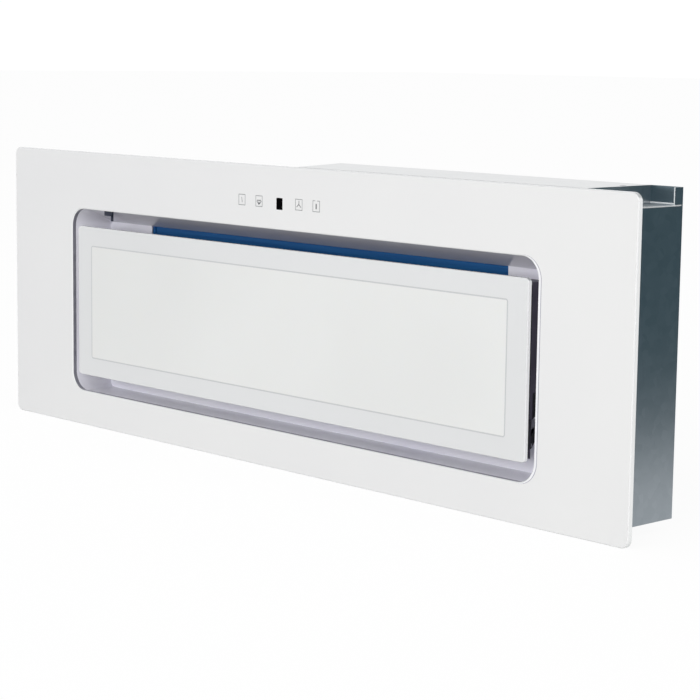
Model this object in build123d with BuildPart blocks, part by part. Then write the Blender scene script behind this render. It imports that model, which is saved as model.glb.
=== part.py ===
from build123d import *
from math import acos, cos, radians, sin
import os

# A flush ceiling range hood, drawn as photographed: +X right, +Z up, glass facing -Y.
# The back panel's rear face is the plane Y = 0, so everything behind the glass but ahead of
# the motor box has a negative Y. Millimetres throughout.

# Front glass
glass_w = 900.0
glass_h = 300.0
glass_t = 5.0
glass_r = 8.0
glass_bevel = 0.8
glass_y = -90.0
opening_w = 684.0
opening_h = 200.0
opening_z = -12.0
opening_r = 20.0

# Recess behind the opening
recess_t = 1.5
recess_depth = 36.8
recess_flange = 10.0
recess_floor_w = 656.0
recess_floor_top = 72.0
recess_floor_bottom = -112.3
recess_floor_r = 6.0

# Grease filter and the hole it covers
filter_hole_w = 522.4
filter_mid_x = 7.3
filter_hole_bottom = -95.0
filter_depth = 10.0
filter_edge = 4.0
filter_sill = 20.0
filter_overlap = 7.5
filter_play = 0.5
mesh_depth = 7.0
filter_latch_x = 180.0
filter_latch_w = 26.0
filter_latch_t = 2.6
filter_latch_stroke = 6.0

# Outer body, folded from galvanised sheet
sheet_t = 1.0
body_w = 850.0
body_top = 135.0
body_bottom = -140.0
body_flange = 14.0
ear_depth = 10.0
ear_h = 15.2
ear_tab_w = 34.0
fixing_x = 390.0
fixing_z = 105.0
fixing_hole_r = 3.5

# Wiring cover on top of the body
cover_h = 15.2
cover_right = 391.0
cover_left_front = 24.5
cover_left_back = -7.0

# Motor box behind the body
box_w = 460.0
box_h = 250.0
box_depth = 210.0
box_flange = 10.0
air_hole_margin = 15.0

# Duct collar and its butterfly damper
duct_r = 75.0
duct_wall = 1.2
duct_len = 52.0
duct_flange = 176.0
flap_axis_y = 222.0
flap_t = 1.0
flap_gap = 1.2
flap_pin_r = 2.0
flap_knuckle_r = 3.5
pin_play = 0.05

# Blower
fan_x = -55.0
fan_y = 108.0
fan_r = 70.0
fan_h = 100.0
vane_count = 32
vane_t = 1.2
fan_ring_w = 9.0
fan_disc_t = 2.0
hub_r = 12.0
hub_h = 14.0
shaft_r = 4.0
shaft_top = 39.0
scroll_h = 150.0
scroll_t = 1.2
scroll_start = 80.0
outlet_half = 60.0
inlet_r = 58.0
inlet_hole_r = 64.5
motor_r = 38.0
motor_low = 6.0
motor_high = 66.0
bracket_t = 2.0
bracket_arms = 3
bracket_arm_w = 12.0
bracket_hub_r = 22.0
bracket_reach = 84.0
bracket_pad = 10.0

# Electrics
capacitor_r = 17.5
capacitor_h = 60.0
capacitor_y = 60.0
control_w = 60.0
control_h = 140.0
control_depth = 59.0
control_x = 374.0
control_z = 10.0
gland_r = 11.0
gland_bore_r = 5.0
gland_shift = -6.0
gland_z = -40.0
touch_w = 150.0
touch_h = 14.0
touch_z = 113.4
touch_t = 1.6
display_w = 16.0
display_h = 12.0

# Hinged centre panel with the lamp
panel_w = 661.8
panel_top = 69.0
panel_bottom = -94.0
panel_t = 4.0
panel_r = 4.0
panel_set = 0.2
tray_w = 659.4
tray_top = 65.0
tray_step = -56.5
tray_lip = -91.0
tray_return = 5.0
tray_return_h = 9.0
tray_depth = 22.8
lamp_w = 612.0
lamp_top = 47.8
lamp_bottom = -74.0
lamp_depth = 10.0
diffuser_t = 2.0
guide_t = 4.0
strip_t = 1.6
driver_w = 120.0
driver_h = 40.0

# Panel hinge and push catches
hinge_y = -78.5
hinge_z = -80.0
hinge_pin_r = 2.0
hinge_eye_r = 3.5
arm_x = 323.0
arm_t = 4.0
lug_t = 4.0
lug_h = 11.0
lug_gap = 1.0
elbow_out = 8.0
elbow_up = 11.0
elbow_r = 4.0
foot_w = 18.0
foot_h = 14.0
foot_t = 2.0
catch_x = 290.0
catch_z = 38.0
catch_w = 18.0
catch_len = 11.3
plunger_r = 3.0
plunger_gap = 0.2
plunger_tail = 7.0

back_y = glass_y + glass_t
floor_y = back_y + recess_depth
filter_y = floor_y + recess_t
body_mid_z = (body_top + body_bottom) / 2
body_h = body_top - body_bottom
floor_h = recess_floor_top - recess_floor_bottom
floor_mid_z = (recess_floor_top + recess_floor_bottom) / 2
panel_y = glass_y + panel_set
tray_y = panel_y + panel_t
lug_x = arm_x - lug_gap - lug_t
gland_x = control_x + gland_shift


def front(y):
    # The upright plane at depth y: across is +X, up is +Z, and a negative extrusion runs back.
    return Plane.XZ.offset(-y)


def side(x):
    # The plane across the hood at x: across is +Y, up is +Z, and an extrusion runs to the right.
    return Plane.YZ.offset(x)


def make_front_glass():
    with BuildPart() as front_glass:
        with BuildSketch(front(glass_y)):
            RectangleRounded(glass_w, glass_h, glass_r)
            with Locations((0, opening_z)):
                RectangleRounded(opening_w, opening_h, opening_r, mode=Mode.SUBTRACT)
        extrude(amount=-glass_t)
        chamfer(front_glass.faces().sort_by(Axis.Y)[0].edges(), glass_bevel)
    front_glass.part.label = "front_glass"
    return front_glass


def make_recess_surround():
    # A pressed funnel: flange on the glass, sloping walls, and a floor with the filter hole.
    filter_hole_h = recess_floor_top - filter_hole_bottom
    with BuildPart() as recess_surround:
        with BuildSketch(front(back_y)):
            with Locations((0, opening_z)):
                RectangleRounded(
                    opening_w + 2 * recess_t,
                    opening_h + 2 * recess_t,
                    opening_r + recess_t,
                )
        with BuildSketch(front(filter_y)):
            with Locations((0, floor_mid_z)):
                RectangleRounded(
                    recess_floor_w + 2 * recess_t,
                    floor_h + 2 * recess_t,
                    recess_floor_r + recess_t,
                )
        loft(ruled=True)
        with BuildSketch(front(back_y)):
            with Locations((0, opening_z)):
                RectangleRounded(
                    opening_w + 2 * recess_flange,
                    opening_h + 2 * recess_flange,
                    opening_r + recess_flange,
                )
        extrude(amount=-recess_t)
        with BuildSketch(front(back_y)):
            with Locations((0, opening_z)):
                RectangleRounded(opening_w, opening_h, opening_r)
        with BuildSketch(front(floor_y)):
            with Locations((0, floor_mid_z)):
                RectangleRounded(recess_floor_w, floor_h, recess_floor_r)
        loft(ruled=True, mode=Mode.SUBTRACT)
        with BuildSketch(front(floor_y)):
            with Locations((filter_mid_x, filter_hole_bottom)):
                Rectangle(
                    filter_hole_w, filter_hole_h, align=(Align.CENTER, Align.MIN)
                )
        extrude(amount=-recess_t, mode=Mode.SUBTRACT)
    recess_surround.part.label = "recess_surround"
    return recess_surround


def make_body_shell():
    inner_w = body_w - 2 * sheet_t
    inner_h = body_h - 2 * sheet_t
    with BuildPart() as body_shell:
        with BuildSketch(front(back_y)):
            with Locations((0, body_mid_z)):
                Rectangle(body_w, body_h)
                Rectangle(inner_w, inner_h, mode=Mode.SUBTRACT)
        extrude(amount=back_y + sheet_t)
        with BuildSketch(front(back_y)):
            with Locations((0, body_mid_z)):
                Rectangle(body_w, body_h)
                Rectangle(
                    body_w - 2 * body_flange,
                    body_h - 2 * body_flange,
                    mode=Mode.SUBTRACT,
                )
        extrude(amount=-sheet_t)
        with BuildSketch(front(-2 * sheet_t)):
            with Locations((0, body_mid_z)):
                Rectangle(body_w, body_h)
                Rectangle(
                    body_w - 2 * body_flange,
                    body_h - 2 * body_flange,
                    mode=Mode.SUBTRACT,
                )
        extrude(amount=-sheet_t)
        with BuildSketch(side(body_w / 2 - sheet_t)):
            with Locations((-sheet_t, body_top - sheet_t)):
                Rectangle(
                    ear_depth, ear_h + sheet_t, align=(Align.MAX, Align.MIN)
                )
        extrude(amount=sheet_t)
    body_shell.part.label = "body_shell"
    return body_shell


def make_back_panel():
    with BuildPart() as back_panel:
        with BuildSketch(front(-sheet_t)):
            with Locations((0, body_mid_z)):
                Rectangle(body_w, body_h)
            with Locations((body_w / 2, body_top)):
                Rectangle(ear_tab_w, ear_h, align=(Align.MAX, Align.MIN))
            Rectangle(
                box_w - 2 * air_hole_margin,
                box_h - 2 * air_hole_margin,
                mode=Mode.SUBTRACT,
            )
            with GridLocations(2 * fixing_x, 2 * fixing_z, 2, 2):
                Circle(fixing_hole_r, mode=Mode.SUBTRACT)
            with Locations((gland_x, gland_z)):
                Circle(gland_r - 3, mode=Mode.SUBTRACT)
        extrude(amount=-sheet_t)
    back_panel.part.label = "back_panel"
    return back_panel


def make_wiring_cover():
    # A shallow folded cover with its left end cut at a slant; its underside is open.
    run = cover_left_front - cover_left_back
    with BuildPart() as wiring_cover:
        with BuildSketch(Plane.XY.offset(body_top)):
            Polygon(
                (cover_left_front, back_y),
                (cover_right, back_y),
                (cover_right, 0),
                (cover_left_back, 0),
                align=None,
            )
        extrude(amount=cover_h)
        slant = run * sheet_t / -back_y
        with BuildSketch(Plane.XY.offset(body_top)):
            Polygon(
                (cover_left_front + sheet_t - slant, back_y + sheet_t),
                (cover_right - sheet_t, back_y + sheet_t),
                (cover_right - sheet_t, -sheet_t),
                (cover_left_back + sheet_t + slant, -sheet_t),
                align=None,
            )
        extrude(amount=cover_h - sheet_t, mode=Mode.SUBTRACT)
    wiring_cover.part.label = "wiring_cover"
    return wiring_cover


def make_motor_box():
    with BuildPart() as motor_box:
        with BuildSketch(front(0)):
            Rectangle(box_w + 2 * box_flange, box_h + 2 * box_flange)
        extrude(amount=-sheet_t)
        with BuildSketch(front(0)):
            Rectangle(box_w, box_h)
        extrude(amount=-box_depth)
        with BuildSketch(front(0)):
            Rectangle(box_w - 2 * sheet_t, box_h - 2 * sheet_t)
        extrude(amount=-(box_depth - sheet_t), mode=Mode.SUBTRACT)
        with BuildSketch(front(box_depth - sheet_t)):
            Circle(duct_r - duct_wall)
        extrude(amount=-sheet_t, mode=Mode.SUBTRACT)
    motor_box.part.label = "motor_box"
    return motor_box


def make_duct_spigot():
    bore_r = duct_r - duct_wall
    flap_face = flap_axis_y - flap_t / 2
    with BuildPart() as duct_spigot:
        with BuildSketch(front(box_depth)):
            RectangleRounded(duct_flange, duct_flange, 6)
        extrude(amount=-duct_wall)
        with BuildSketch(front(box_depth)):
            Circle(duct_r)
        extrude(amount=-duct_len)
        with BuildSketch(front(box_depth)):
            Circle(bore_r)
        extrude(amount=-duct_len, mode=Mode.SUBTRACT)
        # Two stops that the closed flaps rest on, inside the collar.
        with BuildSketch(front(box_depth)):
            with PolarLocations(bore_r - 2, 2):
                Rectangle(5, 12)
            Circle(bore_r + duct_wall / 2, mode=Mode.INTERSECT)
        extrude(amount=-(flap_face - 0.1 - box_depth))
        with BuildSketch(Plane.XY.offset(-duct_r - 1)):
            with Locations((0, flap_axis_y)):
                Circle(flap_pin_r)
        extrude(amount=2 * duct_r + 2, mode=Mode.SUBTRACT)
    duct_spigot.part.label = "duct_spigot"
    return duct_spigot


def make_damper_pin():
    with BuildPart() as damper_pin:
        with BuildSketch(Plane.XY.offset(-duct_r)):
            with Locations((0, flap_axis_y)):
                Circle(flap_pin_r)
        extrude(amount=2 * duct_r)
    damper_pin.part.label = "damper_pin"
    return damper_pin


def make_damper_flap(way, name):
    # Half a disc with two knuckles; way is +1 for the right flap and -1 for the left one.
    flap_r = duct_r - duct_wall - flap_gap
    root = flap_knuckle_r + 0.7
    spans = (-61.5, 0.5) if way < 0 else (-30.5, 31.5)
    with BuildPart() as flap:
        with BuildSketch(front(flap_axis_y - flap_t / 2)):
            Circle(flap_r)
            with Locations((way * root, 0)):
                Rectangle(
                    flap_r + 10,
                    2 * flap_r + 10,
                    align=(Align.MIN if way > 0 else Align.MAX, Align.CENTER),
                    mode=Mode.INTERSECT,
                )
        extrude(amount=-flap_t)
        for low in spans:
            with BuildSketch(Plane.XY.offset(low)):
                with Locations((0, flap_axis_y)):
                    Circle(flap_knuckle_r)
                with Locations((way * 3, flap_axis_y)):
                    Rectangle(
                        root,
                        flap_t,
                        align=(Align.MIN if way > 0 else Align.MAX, Align.CENTER),
                    )
                with Locations((0, flap_axis_y)):
                    Circle(flap_pin_r + pin_play, mode=Mode.SUBTRACT)
            extrude(amount=29)
    flap.part.label = name
    return flap


def spiral(grow, half):
    # Points along a scroll wall that is grow mm outside the inner one.
    start = scroll_start + grow
    reach = outlet_half + grow - fan_x
    first = acos((-half - fan_x) / start)
    last = radians(360)
    points = []
    for i in range(13):
        turn = first + (last - first) * i / 12
        r = start + (reach - grow - scroll_start) * (turn - first) / (last - first)
        points.append((fan_x + r * cos(turn), fan_y + r * sin(turn)))
    return points


def make_scroll_housing():
    # A double-inlet scroll, spiral wall growing anticlockwise, its outlet facing the collar.
    inner = spiral(0.0, outlet_half)
    outer = spiral(scroll_t, outlet_half + scroll_t)
    mouth_y = box_depth - sheet_t
    inside_h = scroll_h - 2 * scroll_t
    with BuildPart() as scroll_housing:
        with BuildSketch(Plane.XY.offset(-scroll_h / 2)):
            with BuildLine():
                Spline(*outer)
                Polyline(
                    outer[-1],
                    (outlet_half + scroll_t, mouth_y),
                    (-outlet_half - scroll_t, mouth_y),
                    outer[0],
                )
            make_face()
        extrude(amount=scroll_h)
        with BuildSketch(Plane.XY.offset(-inside_h / 2)):
            with BuildLine():
                Spline(*inner)
                Polyline(
                    inner[-1],
                    (outlet_half, mouth_y),
                    (-outlet_half, mouth_y),
                    inner[0],
                )
            make_face()
        extrude(amount=inside_h, mode=Mode.SUBTRACT)
        with BuildSketch(Plane.XY.offset(-scroll_h / 2)):
            with Locations((fan_x, fan_y)):
                Circle(inlet_hole_r)
        extrude(amount=scroll_h, mode=Mode.SUBTRACT)
    scroll_housing.part.label = "scroll_housing"
    return scroll_housing


def make_inlet_rings():
    # Two bell-mouthed inlets, each with its flange on a side plate of the scroll.
    top = scroll_h / 2
    tip = fan_h / 2 + 3
    with BuildPart() as inlet_rings:
        for way in (1, -1):
            with BuildSketch(Plane((fan_x, fan_y, 0), (1, 0, 0), (0, -1, 0))):
                Polygon(
                    (inlet_r + 14, way * (top + 1.2)),
                    (inlet_r + 9, way * (top + 1.2)),
                    (inlet_r + 3, way * (top - 1.5)),
                    (inlet_r, way * (top - 7)),
                    (inlet_r, way * tip),
                    (inlet_r + 1.2, way * tip),
                    (inlet_r + 1.2, way * (top - 7.4)),
                    (inlet_r + 4, way * (top - 2.6)),
                    (inlet_r + 6, way * top),
                    (inlet_r + 14, way * top),
                    align=None,
                )
            revolve(axis=Axis((fan_x, fan_y, 0), (0, 0, 1)))
    inlet_rings.part.label = "inlet_rings"
    return inlet_rings


def make_impeller():
    # A centre disc, forward-curved vanes on both sides of it, and an end ring on each side.
    half = fan_h / 2
    vane_in = fan_r - fan_ring_w
    with BuildPart() as impeller:
        with BuildSketch(Plane.XY.offset(-half)):
            with Locations((fan_x, fan_y)):
                with PolarLocations(vane_in + 1, vane_count):
                    SlotArc(
                        CenterArc((-0.6, -7.0), 8.0, 20, 72, mode=Mode.PRIVATE), vane_t
                    )
        extrude(amount=fan_h)
        with BuildSketch(Plane.XY.offset(-fan_disc_t / 2)):
            with Locations((fan_x, fan_y)):
                Circle(fan_r)
        extrude(amount=fan_disc_t)
        for low in (-half, half - fan_disc_t):
            with BuildSketch(Plane.XY.offset(low)):
                with Locations((fan_x, fan_y)):
                    Circle(fan_r)
                    Circle(vane_in + 1, mode=Mode.SUBTRACT)
            extrude(amount=fan_disc_t)
        with BuildSketch(Plane.XY.offset(-hub_h)):
            with Locations((fan_x, fan_y)):
                Circle(hub_r)
        extrude(amount=hub_h)
        with BuildSketch(Plane.XY.offset(-half)):
            with Locations((fan_x, fan_y)):
                Circle(shaft_r)
        extrude(amount=fan_h, mode=Mode.SUBTRACT)
    impeller.part.label = "impeller"
    return impeller


def make_motor_shaft():
    with BuildPart() as motor_shaft:
        with BuildSketch(Plane.XY.offset(-hub_h - 3)):
            with Locations((fan_x, fan_y)):
                Circle(shaft_r)
        extrude(amount=hub_h + 3 + shaft_top)
    motor_shaft.part.label = "motor_shaft"
    return motor_shaft


def make_motor():
    with BuildPart() as motor:
        with BuildSketch(Plane.XY.offset(motor_low)):
            with Locations((fan_x, fan_y)):
                Circle(motor_r - 6)
        extrude(amount=motor_high - motor_low)
        with BuildSketch(Plane.XY.offset(motor_low + 8)):
            with Locations((fan_x, fan_y)):
                Circle(motor_r)
        extrude(amount=motor_high - motor_low - 16)
        with BuildSketch(Plane.XY.offset(motor_high)):
            with Locations((fan_x, fan_y)):
                Circle(15)
        extrude(amount=scroll_h / 2 + bracket_t - motor_high)
        with BuildSketch(Plane.XY.offset(motor_low)):
            with Locations((fan_x, fan_y)):
                Circle(shaft_r + pin_play)
        extrude(amount=shaft_top + 1 - motor_low, mode=Mode.SUBTRACT)
    motor.part.label = "motor"
    return motor


def make_motor_bracket():
    # A three-armed spider across the inlet, standing on pads on the scroll's side plate.
    with BuildPart() as motor_bracket:
        with BuildSketch(Plane.XY.offset(scroll_h / 2 + bracket_t)):
            with Locations((fan_x, fan_y)):
                Circle(bracket_hub_r)
                with PolarLocations(bracket_reach / 2, bracket_arms, 30):
                    Rectangle(bracket_reach, bracket_arm_w)
        extrude(amount=bracket_t)
        with BuildSketch(Plane.XY.offset(scroll_h / 2)):
            with Locations((fan_x, fan_y)):
                with PolarLocations(bracket_reach - bracket_pad / 2, bracket_arms, 30):
                    Rectangle(bracket_pad, bracket_arm_w)
        extrude(amount=bracket_t)
    motor_bracket.part.label = "motor_bracket"
    return motor_bracket


def make_capacitor():
    centre = box_w / 2 - sheet_t - capacitor_r - 1.2
    with BuildPart() as capacitor:
        with BuildSketch(Plane.XY.offset(-capacitor_h / 2)):
            with Locations((centre, capacitor_y)):
                Circle(capacitor_r)
        extrude(amount=capacitor_h)
        with BuildSketch(Plane.XY.offset(capacitor_h / 2)):
            with Locations((centre, capacitor_y)):
                with GridLocations(9, 1, 2, 1):
                    Rectangle(2, 6)
        extrude(amount=8)
    capacitor.part.label = "capacitor"
    return capacitor


def make_capacitor_clip():
    centre = box_w / 2 - sheet_t - capacitor_r - 1.2
    with BuildPart() as capacitor_clip:
        with BuildSketch(Plane.XY.offset(-8)):
            with Locations((centre, capacitor_y)):
                Circle(capacitor_r + 1.2)
            with Locations((box_w / 2 - sheet_t, capacitor_y)):
                Rectangle(1.2, 2 * capacitor_r + 24, align=(Align.MAX, Align.CENTER))
            with Locations((centre, capacitor_y)):
                Circle(capacitor_r, mode=Mode.SUBTRACT)
        extrude(amount=16)
    capacitor_clip.part.label = "capacitor_clip"
    return capacitor_clip


def make_control_box():
    wall = 2.0
    base_y = -sheet_t
    with BuildPart() as control_box:
        with BuildSketch(front(base_y - control_depth + wall)):
            with Locations((control_x, control_z)):
                RectangleRounded(control_w, control_h, 3)
        extrude(amount=-(control_depth - wall))
        with BuildSketch(front(base_y - control_depth + wall)):
            with Locations((control_x, control_z)):
                RectangleRounded(control_w - 2 * wall, control_h - 2 * wall, 1)
        extrude(amount=-(control_depth - 2 * wall), mode=Mode.SUBTRACT)
        with BuildSketch(front(base_y - wall - 8)):
            with Locations((control_x, control_z)):
                with GridLocations(control_w - 14, control_h - 14, 2, 2):
                    Circle(3)
        extrude(amount=-8)
        with BuildSketch(front(base_y - wall)):
            with Locations((gland_x, gland_z)):
                Circle(gland_r - 3)
        extrude(amount=-wall, mode=Mode.SUBTRACT)
    control_box.part.label = "control_box"
    return control_box


def make_control_lid():
    with BuildPart() as control_lid:
        with BuildSketch(front(-sheet_t - control_depth)):
            with Locations((control_x, control_z)):
                RectangleRounded(control_w, control_h, 3)
        extrude(amount=-2)
    control_lid.part.label = "control_lid"
    return control_lid


def make_control_board():
    with BuildPart() as control_board:
        with BuildSketch(front(-sheet_t - 10 - touch_t)):
            with Locations((control_x, control_z)):
                Rectangle(control_w - 6, control_h - 6)
            with Locations((gland_x, gland_z)):
                Rectangle(30, 30, mode=Mode.SUBTRACT)
        extrude(amount=-touch_t)
    control_board.part.label = "control_board"
    return control_board


def make_terminal_block():
    face = -sheet_t - 10 - touch_t
    with BuildPart() as terminal_block:
        with BuildSketch(front(face - 14)):
            with Locations((control_x + 14, control_z - 30)):
                Rectangle(14, 44)
        extrude(amount=-14)
        with BuildSketch(front(face - 14)):
            with Locations((control_x + 14, control_z - 30)):
                with GridLocations(1, 10, 1, 4):
                    Circle(2.2)
        extrude(amount=-6, mode=Mode.SUBTRACT)
    terminal_block.part.label = "terminal_block"
    return terminal_block


def make_cable_gland():
    neck = sheet_t + 2
    with BuildPart() as cable_gland:
        with BuildSketch(front(-neck - 3)):
            with Locations((gland_x, gland_z)):
                Circle(gland_r - 3)
        extrude(amount=-(neck + 3))
        with BuildSketch(front(-neck - 3)):
            with Locations((gland_x, gland_z)):
                RegularPolygon(gland_r, 6)
        extrude(amount=-3)
        with BuildSketch(front(0)):
            with Locations((gland_x, gland_z)):
                RegularPolygon(gland_r + 1, 6)
        extrude(amount=-5)
        with BuildSketch(front(5)):
            with Locations((gland_x, gland_z)):
                Circle(gland_r - 1)
        extrude(amount=-9, taper=12)
        with BuildSketch(front(-neck - 3)):
            with Locations((gland_x, gland_z)):
                Circle(gland_bore_r)
        extrude(amount=-(neck + 17), mode=Mode.SUBTRACT)
    cable_gland.part.label = "cable_gland"
    return cable_gland


def make_touch_board():
    with BuildPart() as touch_board:
        with BuildSketch(front(back_y)):
            with Locations((0, touch_z)):
                Rectangle(touch_w, touch_h)
        extrude(amount=-touch_t)
    touch_board.part.label = "touch_board"
    return touch_board


def make_display_module():
    with BuildPart() as display_module:
        with BuildSketch(front(back_y + touch_t)):
            with Locations((0, touch_z)):
                Rectangle(display_w, display_h)
        extrude(amount=-4.5)
    display_module.part.label = "display_module"
    return display_module


def make_filter_frame():
    # A folded aluminium rim; its deeper lower bar carries the two spring latches.
    low = filter_hole_bottom + 1
    high = recess_floor_top + filter_overlap
    width = filter_hole_w - 2 * filter_play
    slot_y = filter_y + 1.2
    left_x = filter_mid_x - filter_latch_x
    right_x = filter_mid_x + filter_latch_x
    with BuildPart() as filter_frame:
        with BuildSketch(front(filter_y)):
            with Locations((filter_mid_x, low)):
                Rectangle(width, high - low, align=(Align.CENTER, Align.MIN))
            with Locations((filter_mid_x, low + filter_sill)):
                Rectangle(
                    width - 2 * filter_edge,
                    high - low - filter_sill - filter_edge,
                    align=(Align.CENTER, Align.MIN),
                    mode=Mode.SUBTRACT,
                )
        extrude(amount=-filter_depth)
        with BuildSketch(Plane.XY.offset(low)):
            with Locations((left_x, slot_y), (right_x, slot_y)):
                Rectangle(
                    filter_latch_w,
                    filter_latch_t + 0.2,
                    align=(Align.CENTER, Align.MIN),
                )
        extrude(amount=filter_sill, mode=Mode.SUBTRACT)
        with BuildSketch(front(filter_y)):
            with Locations((left_x, low + 5), (right_x, low + 5)):
                Rectangle(12, filter_latch_stroke + 6, align=(Align.CENTER, Align.MIN))
        extrude(amount=-1.5, mode=Mode.SUBTRACT)
    filter_frame.part.label = "filter_frame"
    return filter_frame


def make_filter_mesh():
    low = filter_hole_bottom + 1 + filter_sill
    high = recess_floor_top + filter_overlap - filter_edge
    width = filter_hole_w - 2 * filter_play - 2 * filter_edge
    with BuildPart() as filter_mesh:
        with BuildSketch(front(filter_y + (filter_depth - mesh_depth) / 2)):
            with Locations((filter_mid_x, low)):
                Rectangle(width, high - low, align=(Align.CENTER, Align.MIN))
        extrude(amount=-mesh_depth)
    filter_mesh.part.label = "filter_mesh"
    return filter_mesh


def make_filter_latch(x, name):
    # A tongue behind the sill of the filter hole, drawn up by its knob to free the filter.
    low = filter_hole_bottom + 1
    tongue_y = filter_y + 1.2 + 0.1
    with BuildPart() as latch:
        with BuildSketch(front(tongue_y)):
            with Locations((x, low - 7)):
                Rectangle(filter_latch_w - 0.4, 19, align=(Align.CENTER, Align.MIN))
        extrude(amount=-filter_latch_t)
        with BuildSketch(front(filter_y - 3)):
            with Locations((x, low + 5.5)):
                Rectangle(10, 5, align=(Align.CENTER, Align.MIN))
        extrude(amount=-(tongue_y - filter_y + 3))
    latch.part.label = name
    return latch


def make_panel_glass():
    with BuildPart() as panel_glass:
        with BuildSketch(front(panel_y)):
            with Locations((0, (panel_top + panel_bottom) / 2)):
                RectangleRounded(panel_w, panel_top - panel_bottom, panel_r)
        extrude(amount=-panel_t)
        chamfer(panel_glass.faces().sort_by(Axis.Y)[0].edges(), 0.6)
    panel_glass.part.label = "panel_glass"
    return panel_glass


def make_light_tray():
    # A black folded tray: deep behind the upper part, shallow behind the lamp, with a thin lip.
    shallow_w = lamp_w + 16
    shallow_low = lamp_bottom - 10
    with BuildPart() as light_tray:
        with BuildSketch(front(tray_y)):
            with Locations((0, tray_step)):
                Rectangle(tray_w, tray_top - tray_step, align=(Align.CENTER, Align.MIN))
        extrude(amount=-tray_depth)
        with BuildSketch(front(tray_y)):
            with Locations((0, tray_step)):
                Rectangle(
                    shallow_w, tray_step - shallow_low, align=(Align.CENTER, Align.MAX)
                )
        extrude(amount=-lamp_depth)
        with BuildSketch(front(tray_y)):
            with Locations((0, tray_step)):
                Rectangle(tray_w, tray_step - tray_lip, align=(Align.CENTER, Align.MAX))
        extrude(amount=-sheet_t)
        with BuildSketch(front(tray_y)):
            with Locations((0, tray_step + sheet_t)):
                Rectangle(
                    tray_w - 2 * sheet_t,
                    tray_top - tray_step - 2 * sheet_t,
                    align=(Align.CENTER, Align.MIN),
                )
        extrude(amount=-(tray_depth - sheet_t), mode=Mode.SUBTRACT)
        with BuildSketch(front(tray_y)):
            with Locations((0, tray_step + sheet_t)):
                Rectangle(
                    shallow_w - 2 * sheet_t,
                    tray_step - shallow_low,
                    align=(Align.CENTER, Align.MAX),
                )
        extrude(amount=-(lamp_depth - sheet_t), mode=Mode.SUBTRACT)
        # The lip's ends are folded back at the bottom.
        for x in (tray_w / 2 - sheet_t, -tray_w / 2):
            with BuildSketch(side(x)):
                with Locations((tray_y, tray_lip)):
                    Rectangle(tray_return, tray_return_h, align=(Align.MIN, Align.MIN))
            extrude(amount=sheet_t)
        # A pair of lugs on the lip hold the hinge pins.
        lug_reach = hinge_y + hinge_eye_r + pin_play - tray_y
        for x in (lug_x, -lug_x - lug_t):
            with BuildSketch(side(x)):
                with Locations((tray_y, hinge_z)):
                    Rectangle(lug_reach, lug_h, align=(Align.MIN, Align.CENTER))
                with Locations((hinge_y, hinge_z)):
                    Circle(hinge_pin_r, mode=Mode.SUBTRACT)
            extrude(amount=lug_t)
    light_tray.part.label = "light_tray"
    return light_tray


def make_diffuser():
    with BuildPart() as diffuser:
        with BuildSketch(front(tray_y)):
            with Locations((0, lamp_bottom)):
                Rectangle(lamp_w, lamp_top - lamp_bottom, align=(Align.CENTER, Align.MIN))
        extrude(amount=-diffuser_t)
    diffuser.part.label = "diffuser"
    return diffuser


def make_light_guide():
    with BuildPart() as light_guide:
        with BuildSketch(front(tray_y + diffuser_t)):
            with Locations((0, lamp_bottom)):
                Rectangle(lamp_w, lamp_top - lamp_bottom, align=(Align.CENTER, Align.MIN))
        extrude(amount=-guide_t)
    light_guide.part.label = "light_guide"
    return light_guide


def make_reflector_sheet():
    start = diffuser_t + guide_t
    with BuildPart() as reflector_sheet:
        with BuildSketch(front(tray_y + start)):
            with Locations((0, lamp_bottom - 3)):
                Rectangle(
                    lamp_w + 4,
                    lamp_top - lamp_bottom + 6,
                    align=(Align.CENTER, Align.MIN),
                )
        extrude(amount=-(lamp_depth - sheet_t - start))
    reflector_sheet.part.label = "reflector_sheet"
    return reflector_sheet


def make_led_strips():
    with BuildPart() as led_strips:
        with BuildSketch(front(tray_y + diffuser_t)):
            with Locations((0, lamp_top)):
                Rectangle(lamp_w - 10, strip_t, align=(Align.CENTER, Align.MIN))
            with Locations((0, lamp_bottom)):
                Rectangle(lamp_w - 10, strip_t, align=(Align.CENTER, Align.MAX))
        extrude(amount=-guide_t)
    led_strips.part.label = "led_strips"
    return led_strips


def make_led_driver():
    start = lamp_depth - sheet_t
    with BuildPart() as led_driver:
        with BuildSketch(front(tray_y + start)):
            with Locations((0, (tray_top + tray_step) / 2)):
                RectangleRounded(driver_w, driver_h, 3)
        extrude(amount=-(tray_depth - sheet_t - start))
    led_driver.part.label = "led_driver"
    return led_driver


def make_hinge_brackets():
    # Cranked arms that reach forward and down from the recess floor to the hinge axis.
    elbow_y = hinge_y + elbow_out
    elbow_z = hinge_z + elbow_up
    with BuildPart() as hinge_brackets:
        for way in (1, -1):
            with BuildSketch(side(arm_x if way > 0 else -arm_x - arm_t)):
                with BuildLine():
                    FilletPolyline(
                        (hinge_y, hinge_z),
                        (elbow_y, elbow_z),
                        (floor_y - hinge_eye_r, elbow_z),
                        radius=elbow_r,
                    )
                trace(line_width=2 * hinge_eye_r)
                with Locations((floor_y, elbow_z)):
                    Rectangle(
                        hinge_eye_r + foot_t, foot_h, align=(Align.MAX, Align.CENTER)
                    )
                with Locations((hinge_y, hinge_z)):
                    Circle(hinge_eye_r)
                    Circle(hinge_pin_r + pin_play, mode=Mode.SUBTRACT)
            extrude(amount=arm_t)
            with BuildSketch(front(floor_y - foot_t)):
                with Locations((way * (arm_x + arm_t / 2), elbow_z)):
                    Rectangle(
                        foot_w,
                        foot_h,
                        align=(Align.MAX if way > 0 else Align.MIN, Align.CENTER),
                    )
            extrude(amount=-foot_t)
    hinge_brackets.part.label = "hinge_brackets"
    return hinge_brackets


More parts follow.
